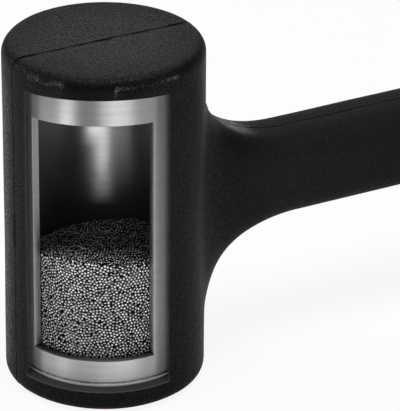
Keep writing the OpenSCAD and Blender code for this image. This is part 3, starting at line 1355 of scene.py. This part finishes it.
    def weather(self, shell: Shell) -> None:
        """Move the outer skin along its normals: the mould seam's step and the casting's faint waves.

        The front half falls off to the seam in a parabola, less deeply where a drifting sine along X
        says so, and the back half has a thin lip. The waves are the mean of sines along slanted
        directions. All of it lies inside the nominal skin.

        Args:
            shell: Welded jacket, which is changed in place.
        """
        x, y, z = shell.points.T
        on_handle = smooth((x - self.head_r) / self.rim_r)
        on_side = smooth((np.hypot(x, y) - self.flat_r) / self.rim_r)
        depth = self.seam_depth + (self.side_seam - self.seam_depth) * on_side
        depth += (self.handle_seam - depth) * on_handle
        run = self.seam_run + (self.handle_seam_run - self.seam_run) * on_handle
        drift = self.seam_drift * np.sin(self.drift_z * z + self.drift_x * x)
        broken = 1 - self.seam_gap + self.seam_gap * np.sin(self.seam_beat * x + drift)
        fall = np.clip(1 - np.abs(y) / run, 0, 1) ** 2
        seam = np.where(y < 0, -depth * broken * fall, self.seam_lip * np.clip(1 - y, 0, 1))
        waves = sum(np.sin(along * x + across * y + up * z + phase)
                    for along, across, up, phase in self.waves) / len(self.waves)
        move = shell.soft * (seam + self.wave * (waves - 1) - self.seam_lip - self.inset)
        shell.points += shell.normals() * move[:, None]

    def build(self) -> bpy.types.Object:
        """Make the jacket.

        Returns:
            The piece, dressed and riding on the hammer.
        """
        skin = Skin()
        angle, z = self.head(skin)
        self.handle(skin, angle, z)
        shell = skin.weld()
        self.weather(shell)
        piece = shell.piece("cast_jacket", self.crease)
        return dress(piece, CastUrethane().material(), Body.HAMMER, "urethane_jacket")


@dataclass
class Canister:
    """Steel tube with its port, whose edges are broken."""

    tube_r: float = 28.0
    bore_r: float = 25.5
    tube_z: Pair = (8.9, 105.4)
    bead: float = 0.4
    port_az: float = -126.5
    port_half: float = 42.35
    port_z: Pair = (16.5, 97.6)
    broken_edge: float = 0.16
    cut: CutSlope = CutSlope()
    crease: float = 30.0

    PORT, BACK, HIGH, FADE = 48, 110, 36, 12

    def build(self) -> bpy.types.Object:
        """Make the tube as its closed wall section carried round the axis, with the port's walls.

        Rows round the port sink with its sloping upper edge, and that fades out on every side.

        Returns:
            The piece, dressed and riding on the hammer.
        """
        az, half = math.radians(self.port_az), math.radians(self.port_half)
        edge = self.broken_edge / self.bore_r
        port = np.linspace(-1, 1, self.PORT + 1)
        back = np.linspace(half + edge, 2 * math.pi - half - edge, self.BACK + 1)
        angle = az + chain(port * (half + edge), back)
        low, high = self.tube_z
        foot, crown = self.port_z[0] - self.broken_edge, self.port_z[1] + self.broken_edge
        opening = np.linspace(foot, crown, self.HIGH + 1)
        out_z = np.concatenate([[low, low + self.bead], opening, [high - self.bead, high]])
        out_r = np.full(len(out_z), self.tube_r)
        out_r[[0, -1]] -= self.bead
        in_z = np.concatenate([[high], opening[::-1], [low, low]])
        in_r = np.full(len(in_z), self.bore_r)
        in_r[-1] = out_r[0]
        z, radius = np.concatenate([out_z, in_z]), np.concatenate([out_r, in_r])
        keep = np.ones((len(z) - 1, len(angle) - 1), bool)
        outer, inner = 2, len(out_z) + 1
        for start in (outer, inner):
            keep[start:start + self.HIGH, :self.PORT] = False
        end = len(angle) - 1
        ends = [self.PORT, self.PORT + self.FADE, end - self.FADE, end]
        stops = [opening[0], opening[-1], high - self.bead]
        sunk = self.cut.taper(z, stops, len(angle), ends, [1, 0, 0, 1])
        height = z[:, None] - sunk * self.cut.drop(self.tube_r, radius[:, None], angle)
        skin = Skin()
        skin.grid(polar(radius[:, None], angle[None], height), keep)
        self.port_walls(skin, port)
        piece = skin.weld().piece("brushed_canister", self.crease)
        return dress(piece, BrushedTube().material(), Body.HAMMER, "canister_tube")

    def port_walls(self, skin: Skin, across: Array) -> None:
        """Add the port's walls as loops from the broken outer edge to the broken inner edge.

        Args:
            skin: Skin that takes the grid.
            across: Sideways shares of the port's columns.
        """
        az, half = math.radians(self.port_az), math.radians(self.port_half)
        middle, tall = middle_half(self.port_z)
        wide, up = np.meshgrid(across, np.linspace(-1, 1, self.HIGH + 1))
        wide, up = border(wide), border(up)
        cut = self.broken_edge
        loops = ((self.tube_r, cut), (self.tube_r - cut, 0.0), (self.bore_r + cut, 0.0), (self.bore_r, cut))
        rows = []
        for radius, grow in loops:
            angle = az + wide * (half + grow / self.bore_r)
            sunk = (up + 1) / 2 * self.cut.drop(self.tube_r, radius, angle)
            rows.append(polar(radius, angle, middle + up * (tall + grow) - sunk))
        skin.grid(np.stack(rows), soft=np.array([0.0, 1.0, 1.0, 0.0]))


@dataclass
class PlugWelds:
    """Weld rings between the tube and the end plugs: the lower is hollow, the upper is ground flush."""

    tube_r: float = 28.0
    joint_z: float = 8.9
    head_len: float = 114.3
    bead: float = 0.4
    hollow: float = 0.2
    flush: float = 0.01
    crease: float = 50.0

    AROUND, ACROSS = 192, 8

    def build(self) -> list[bpy.types.Object]:
        """Make both rings.

        Returns:
            The pieces, dressed and riding on the hammer.
        """
        lower = self.ring("lower_weld_ring", self.joint_z, self.hollow)
        upper = self.ring("upper_weld_ring", self.head_len - self.joint_z, self.flush)
        ground = BrushedTube("ground_weld").material()
        return [dress(lower, WeldBead().material(), Body.HAMMER, "lower_plug_weld"),
                dress(upper, ground, Body.HAMMER, "upper_plug_weld")]

    def ring(self, name: str, z: float, hollow: float) -> bpy.types.Object:
        """Make a ring: a section carried round the axis.

        The section's outside dips below the tube as the cube of half a cosine wave between its two
        edges, and its inside is the point of the groove.

        Args:
            name: Name of the piece.
            z: Height of the joint.
            hollow: Depth of the dip.

        Returns:
            The piece.
        """
        share = np.linspace(-1, 1, self.ACROSS + 1)
        radius = self.tube_r - hollow * np.cos(share * math.pi / 2) ** 3
        radius = np.concatenate([radius, [self.tube_r - self.bead, radius[0]]])
        height = z + self.bead * np.concatenate([share, [0.0, share[0]]])
        angle = np.linspace(0, 2 * math.pi, self.AROUND + 1)
        skin = Skin()
        skin.grid(polar(radius[:, None], angle[None], height[:, None]))
        return skin.weld().piece(name, self.crease)


@dataclass
class ShotHeap:
    """Loose shot: a depth of the heap painted dark as shade, and the balls that show at the port and on
    top.

    The balls' shaking, pushing and neighbourhood are shares of their pitch.
    """

    ball_r: float = 0.52
    pitch: float = 1.06
    fill: float = 0.83
    floor_z: float = 12.95
    depth: float = 32.1
    lean_az: float = -118.8
    rise_front: float = 0.18
    rise_right: float = 0.025
    twist: float = -0.0046
    slump: float = 0.14
    slump_middle: float = -2.5
    slump_from: float = 7.5
    slump_soft: float = 2.5
    face_az: float = -126.5
    face_half: float = 50.0
    face_r: float = 24.65
    heart_r: float = 24.3
    top_r: float = 24.65
    # Tilt of the top balls' poles, where the painted light falls, from the floor towards the port.
    top_lean: float = 65.0
    missing: float = 0.006
    seed: int = 7
    shake: float = 0.38
    rounds: int = 70
    near: float = 2.4
    push: float = 0.22
    face_sunk: float = 0.18
    top_gap: float = 0.05
    top_sunk: float = 0.8
    crease: float = 40.0
    steel: RoundShot = RoundShot()
    # A darker copy of the shot's material for the heap's top: painted shade inside the canister.
    painted_dark: RoundShot = RoundShot("shaded_shot", painted_gap_shade=0.004, dark=0.36, bright=0.9, painted_light=(0.84, 1.0))

    RINGS = (-90.0, -35.0, 5.0, 40.0, 65.0, 90.0)
    SIDES, AROUND, LID = 8, 96, 8
    TINY = 1e-6
    SMOOTH = 180.0

    def top(self, x: Array, y: Array) -> Array:
        """Height of the heap's top: a plane that rises towards the front, with a twist across it.

        Beyond a soft bend on either side it slumps, fully at the back wall and not at all at the front.

        Args:
            x: Places along X.
            y: Places along Y.

        Returns:
            Heights.
        """
        az = math.radians(self.lean_az)
        front = x * math.cos(az) + y * math.sin(az)
        right = y * math.cos(az) - x * math.sin(az)
        lean = self.rise_front * front + self.rise_right * right + self.twist * front * right
        beyond = np.abs(right - self.slump_middle) - self.slump_from
        bend = (beyond + np.sqrt(beyond**2 + self.slump_soft**2)) / 2
        back = (self.top_r - front) / (2 * self.top_r)
        return self.floor_z + self.depth + lean - self.slump * bend * back

    def heart(self) -> bpy.types.Object:
        """Make the painted-shade depth: a cylinder's section carried round the axis, with a sloping top.

        Returns:
            The piece.
        """
        angle = np.linspace(0, 2 * math.pi, self.AROUND + 1)
        lid = np.linspace(self.heart_r, 0, self.LID + 1)[1:]
        radius = np.concatenate([[0.0], np.full(2, self.heart_r), lid])
        points = polar(radius[:, None], angle[None], 0.0)
        points[:2, :, 2] = self.floor_z
        points[2:, :, 2] = self.top(points[2:, :, 0], points[2:, :, 1]) - self.pitch
        skin = Skin()
        skin.grid(points)
        return skin.weld().piece("shot_heart", self.crease)

    def settle(self, spots: Array) -> Array:
        """Push spots apart until most lie one pitch from their neighbours.

        In every round each pair that is closer than the pitch moves apart by a share of its overlap.

        Args:
            spots: Places in the plane.

        Returns:
            The settled places.
        """
        apart = np.linalg.norm(spots[:, None] - spots[None], axis=-1)
        one, other = np.nonzero((apart < self.near * self.pitch) & (apart > 0))
        for _ in range(self.rounds):
            gap = spots[one] - spots[other]
            far = np.maximum(np.linalg.norm(gap, axis=1), self.TINY)
            push = gap * (self.push * np.clip(self.pitch - far, 0, None) / far)[:, None]
            np.add.at(spots, one, push)
        return spots

    def scatter(self, draw: np.random.Generator, low: Array, high: Array) -> Array:
        """Settled places in a box of the plane, from a shaken triangular lattice.

        Args:
            draw: Source of the shaking.
            low: Lower corner of the box.
            high: Upper corner of the box.

        Returns:
            Places in the plane.
        """
        step = math.sqrt(math.pi * self.pitch**2 / 4 / self.fill / math.sin(math.pi / 3))
        rise = step * math.sin(math.pi / 3)
        across, up = np.meshgrid(np.arange(low[0], high[0], step), np.arange(low[1], high[1], rise))
        across[1::2] += step / 2
        spots = np.stack([across.ravel(), up.ravel()], -1)
        return self.settle(spots + draw.normal(0, self.shake * step, spots.shape))

    def balls(self, name: str, centres: Array, lean: Array) -> bpy.types.Object:
        """Make one piece of many balls.

        A ball's point is its centre plus the radius along the direction of a latitude and a longitude,
        with the ball's pole laid in a tilted direction. The pole is the open side, where the material
        paints light.

        Args:
            name: Name of the piece.
            centres: Middle of each ball.
            lean: Angle round the head's axis of each ball's pole, and its angle above the floor.

        Returns:
            The piece.
        """
        skin = Skin()
        turns = np.linspace(0, 2 * math.pi, self.SIDES + 1)
        tip, turn = np.meshgrid(np.radians(self.RINGS), turns, indexing="ij")
        skin.grid(polar(self.ball_r * np.cos(tip), turn, self.ball_r * np.sin(tip)))
        ball = skin.weld()
        az, rise = lean.T
        pole = polar(np.cos(rise), az, np.sin(rise))
        across = polar(np.ones_like(az), az + math.pi / 2, np.zeros_like(az))
        frames = np.stack([across, np.cross(pole, across), pole], 1)
        first = np.arange(len(centres))[:, None, None] * len(ball.points)
        points = (centres[:, None] + ball.points @ frames).reshape(-1, 3)
        quads = (first + ball.quads).reshape(-1, 4)
        tris = (first + ball.tris).reshape(-1, 3)
        # Share of the way towards each ball's pole, which sets where the painted light falls.
        opening = np.clip(ball.points[:, 2] / self.ball_r, 0, 1)
        return Shell(points, quads, tris, np.tile(opening, len(centres))).piece(name, self.SMOOTH)

    def build(self) -> list[bpy.types.Object]:
        """Make the heap: balls at the port on an upright cylinder, and balls on the heap's top.

        Returns:
            Its pieces, dressed and riding on the shot.
        """
        draw = np.random.default_rng(self.seed)
        az, half = math.radians(self.face_az), math.radians(self.face_half)
        span, foot = half * self.face_r, self.floor_z + self.ball_r
        spots = self.scatter(draw, (-span, foot), (span, self.floor_z + 2 * self.depth))
        radius = self.face_r - draw.uniform(0, self.face_sunk, len(spots))
        face = polar(radius, az + spots[:, 0] / self.face_r, spots[:, 1])
        under = face[:, 2] < self.top(face[:, 0], face[:, 1]) - self.ball_r
        inside = (np.abs(spots[:, 0]) < span) & (face[:, 2] > foot)
        face = face[under & inside & (draw.random(len(face)) > self.missing)]
        disc = self.scatter(draw, (-self.top_r, -self.top_r), (self.top_r, self.top_r))
        disc = disc[np.hypot(disc[:, 0], disc[:, 1]) < self.top_r - self.top_gap]
        sunk = draw.uniform(0, self.top_sunk, len(disc))
        height = self.top(disc[:, 0], disc[:, 1]) - self.ball_r - sunk
        lid = np.concatenate([disc, height[:, None]], axis=1)
        # painted_dark is the shot's material painted as shaded, for the top balls.
        steel, painted_dark = self.steel.material(), self.painted_dark.material()
        heart = dress(self.heart(), ShotShade().material(), Body.SHOT, "shot_charge")
        outward = np.stack([np.arctan2(face[:, 1], face[:, 0]), np.zeros(len(face))], -1)
        upward = np.broadcast_to([az, math.radians(self.top_lean)], (len(lid), 2))
        front = dress(self.balls("shot_front", face, outward), steel, Body.SHOT, "shot_charge")
        upper = dress(self.balls("shot_top", lid, upward), painted_dark, Body.SHOT, "shot_charge")
        return [heart, front, upper]


@dataclass
class InnerSteel:
    """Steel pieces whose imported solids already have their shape, and that only need a finish."""

    turned: tuple[str, ...] = ("lower_end_plug",)
    brushed: tuple[str, ...] = ("upper_end_plug",)
    welded: tuple[str, ...] = ("socket_weld",)
    bars: tuple[str, ...] = ("handle_socket", "handle_rod", "rod_pin", "anchor_washer")

    def dress(self) -> list[bpy.types.Object]:
        """Give each solid its finish.

        Returns:
            The dressed solids.
        """
        groups = ((self.turned, TurnedSteel()), (self.brushed, BrushedTube("brushed_plug")),
                  (self.welded, WeldBead()), (self.bars, BarSteel()))
        dressed = []
        for names, finish in groups:
            material = finish.material()
            for name in names:
                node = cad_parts[name]
                node.data.materials.clear()
                node.data.materials.append(material)
                dressed.append(node)
        return dressed


def dress(piece: bpy.types.Object, material: bpy.types.Material, body: Body,
          node: str) -> bpy.types.Object:
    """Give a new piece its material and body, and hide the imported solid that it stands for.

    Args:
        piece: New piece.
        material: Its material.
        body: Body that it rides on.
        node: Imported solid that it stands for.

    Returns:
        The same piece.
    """
    piece.data.materials.append(material)
    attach(piece, body.value)
    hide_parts(node)
    return piece


@dataclass(frozen=True)
class Softbox:
    """Rectangular lamp that looks at the head from a direction counted from the camera's."""

    name: str
    turn: float
    rise: float
    reach: float
    size: Pair
    power: float


@dataclass(frozen=True)
class GlowCard:
    """Glowing card that lies on the floor in front of the head, for its mirror image in the steel.

    Its length points away from the head, less the skew.
    """

    name: str
    turn: float
    reach: float
    skew: float
    size: Pair
    power: float
    lift: float = 2.0


@dataclass
class Studio:
    """Pale floor, dim surroundings, soft lamps and the camera at the photograph's angle."""

    image: tuple[int, int] = (400, 411)
    sensor: float = 36.0
    camera_turn: float = 28.81
    camera_rise: float = 26.45
    camera_roll: float = -0.42
    distance: float = 1270.0
    focal_px: float = 4054.0
    aim_z: float = 57.15
    aim_right: float = 29.95
    aim_up: float = 0.16
    floor_half: float = 4000.0
    floor_glow: float = 0.9
    floor_tone: float = 0.8
    ambient: float = 0.05
    clip_end: float = 100.0
    lamps: tuple[Softbox, ...] = (
        Softbox("top_box", 15.0, 80.0, 1500.0, (1.2, 0.6), 22.0),
        Softbox("back_box", 175.0, 20.0, 1600.0, (1.8, 0.9), 4.2),
        Softbox("left_box", -105.0, 22.0, 1500.0, (0.8, 0.8), 12.0),
        Softbox("front_strip", 4.0, 0.0, 800.0, (0.28, 0.11), 0.75),
    )
    cards: tuple[GlowCard, ...] = (
        GlowCard("near_card", 25.0, 124.0, 0.0, (0.055, 0.05), 0.18),
        GlowCard("far_card", 3.0, 490.0, 3.0, (0.08, 0.54), 0.97),
        GlowCard("left_card", -46.5, 140.0, 0.0, (0.036, 0.06), 0.17),
    )

    def axes(self) -> tuple[Vector, Vector, Vector]:
        """Camera's right, up and backward directions before its roll.

        Returns:
            Three unit vectors.
        """
        back = self.direction(0.0, self.camera_rise)
        turn = math.radians(self.camera_turn)
        right = Vector((math.cos(turn), -math.sin(turn), 0.0))
        return right, back.cross(right), back

    def direction(self, turn: float, rise: float) -> Vector:
        """Unit direction from the head that is turned from the camera's, to its right, and raised."""
        a, e = math.radians(self.camera_turn - turn), math.radians(rise)
        return Vector((-math.sin(a) * math.cos(e), -math.cos(a) * math.cos(e), math.sin(e)))

    def set_camera(self) -> None:
        """Place the camera: it aims beside the head's middle and stands back along its direction."""
        right, up, back = self.axes()
        aim = Vector((0.0, 0.0, self.aim_z)) + right * self.aim_right + up * self.aim_up
        roll = math.radians(self.camera_roll)
        across = right * math.cos(roll) - up * math.sin(roll)
        upward = right * math.sin(roll) + up * math.cos(roll)
        data = bpy.data.cameras.new("photo_camera")
        data.sensor_width = self.sensor
        data.lens = self.focal_px / max(self.image) * self.sensor
        data.clip_end = self.clip_end
        camera = bpy.data.objects.new("photo_camera", data)
        turned = Matrix((across, upward, back)).transposed().to_4x4()
        camera.matrix_world = Matrix.Translation((aim + back * self.distance) * MM) @ turned
        bpy.context.scene.collection.objects.link(camera)
        bpy.context.scene.camera = camera

    def set_floor(self) -> None:
        """Lay the floor: a wide square that glows white to the eye and keeps part of its shadow."""
        half = self.floor_half * MM
        corners = [(x * half, y * half, 0.0) for x, y in ((-1, -1), (1, -1), (1, 1), (-1, 1))]
        mesh = bpy.data.meshes.new("pale_floor")
        mesh.from_pydata(corners, [], [(0, 1, 2, 3)])
        floor = bpy.data.objects.new("pale_floor", mesh)
        bpy.context.scene.collection.objects.link(floor)
        material = bpy.data.materials.new("pale_floor")
        material.use_nodes = True
        tree = material.node_tree
        tree.nodes.clear()
        board = Board(tree)
        glow = board.node("ShaderNodeEmission", {"Color": grey(1.0), "Strength": 1.0})
        matt = board.node("ShaderNodeBsdfDiffuse", {"Color": grey(self.floor_tone)})
        share = seen(board) * self.floor_glow
        surface = board.node("ShaderNodeMixShader", {0: share, 1: matt, 2: glow})
        board.close("ShaderNodeOutputMaterial", surface)
        mesh.materials.append(material)

    def set_world(self) -> None:
        """Make the surroundings an even dim grey, which fills the shadows a little."""
        world = bpy.data.worlds.new("studio")
        bpy.context.scene.world = world
        world.use_nodes = True
        world.node_tree.nodes.clear()
        board = Board(world.node_tree)
        glow = board.node("ShaderNodeBackground", {"Color": grey(self.ambient), "Strength": 1.0})
        board.close("ShaderNodeOutputWorld", glow)

    @staticmethod
    def area(light: Softbox | GlowCard) -> bpy.types.Object:
        """Add a rectangular lamp of a light's name, size and power.

        Args:
            light: What the lamp stands for.

        Returns:
            The lamp, which is still to be placed.
        """
        data = bpy.data.lights.new(light.name, "AREA")
        data.shape = "RECTANGLE"
        data.size, data.size_y = light.size
        data.energy = light.power
        lamp = bpy.data.objects.new(light.name, data)
        bpy.context.scene.collection.objects.link(lamp)
        return lamp

    def set_lamps(self) -> None:
        """Hang the softboxes round the head, each turned to its middle."""
        middle = Vector((0.0, 0.0, self.aim_z)) * MM
        for box in self.lamps:
            lamp = self.area(box)
            away = self.direction(box.turn, box.rise)
            lamp.location = middle + away * box.reach * MM
            lamp.rotation_euler = away.to_track_quat("Z", "Y").to_euler()

    def set_cards(self) -> None:
        """Lay the glowing cards face up on the floor, each square to its direction from the head."""
        for card in self.cards:
            lamp = self.area(card)
            away = self.direction(card.turn, 0.0)
            lamp.location = (away * card.reach + Vector((0.0, 0.0, card.lift))) * MM
            length = self.direction(card.turn - card.skew, 0.0)
            lamp.rotation_euler = (math.pi, 0.0, math.atan2(length.y, length.x) + math.pi / 2)

    def build(self) -> None:
        """Set up everything round the hammer."""
        bpy.context.scene.view_settings.view_transform = "Standard"
        self.set_camera()
        self.set_floor()
        self.set_world()
        self.set_lamps()
        self.set_cards()


def seen(board: Board) -> Sock:
    """Tell rays that show the floor from those that light the scene.

    Args:
        board: Board of the nodes.

    Returns:
        1 for rays from the camera and for mirrored and transmitted rays, 0 for the rest.
    """
    outputs = board.node("ShaderNodeLightPath", {}).socket.node.outputs
    rays = [Sock(board, outputs[n]) for n in ("Is Camera Ray", "Is Glossy Ray", "Is Transmission Ray")]
    return board.math("MINIMUM", rays[0] + rays[1] + rays[2], 1.0)


def main() -> None:
    """Build the hammer and the studio."""
    logging.basicConfig(level=logging.INFO, format="%(message)s")
    pieces = [Jacket().build(), Canister().build(), *PlugWelds().build(), *ShotHeap().build(),
              *InnerSteel().dress()]
    Studio().build()


if __name__ == "__main__":
    main()
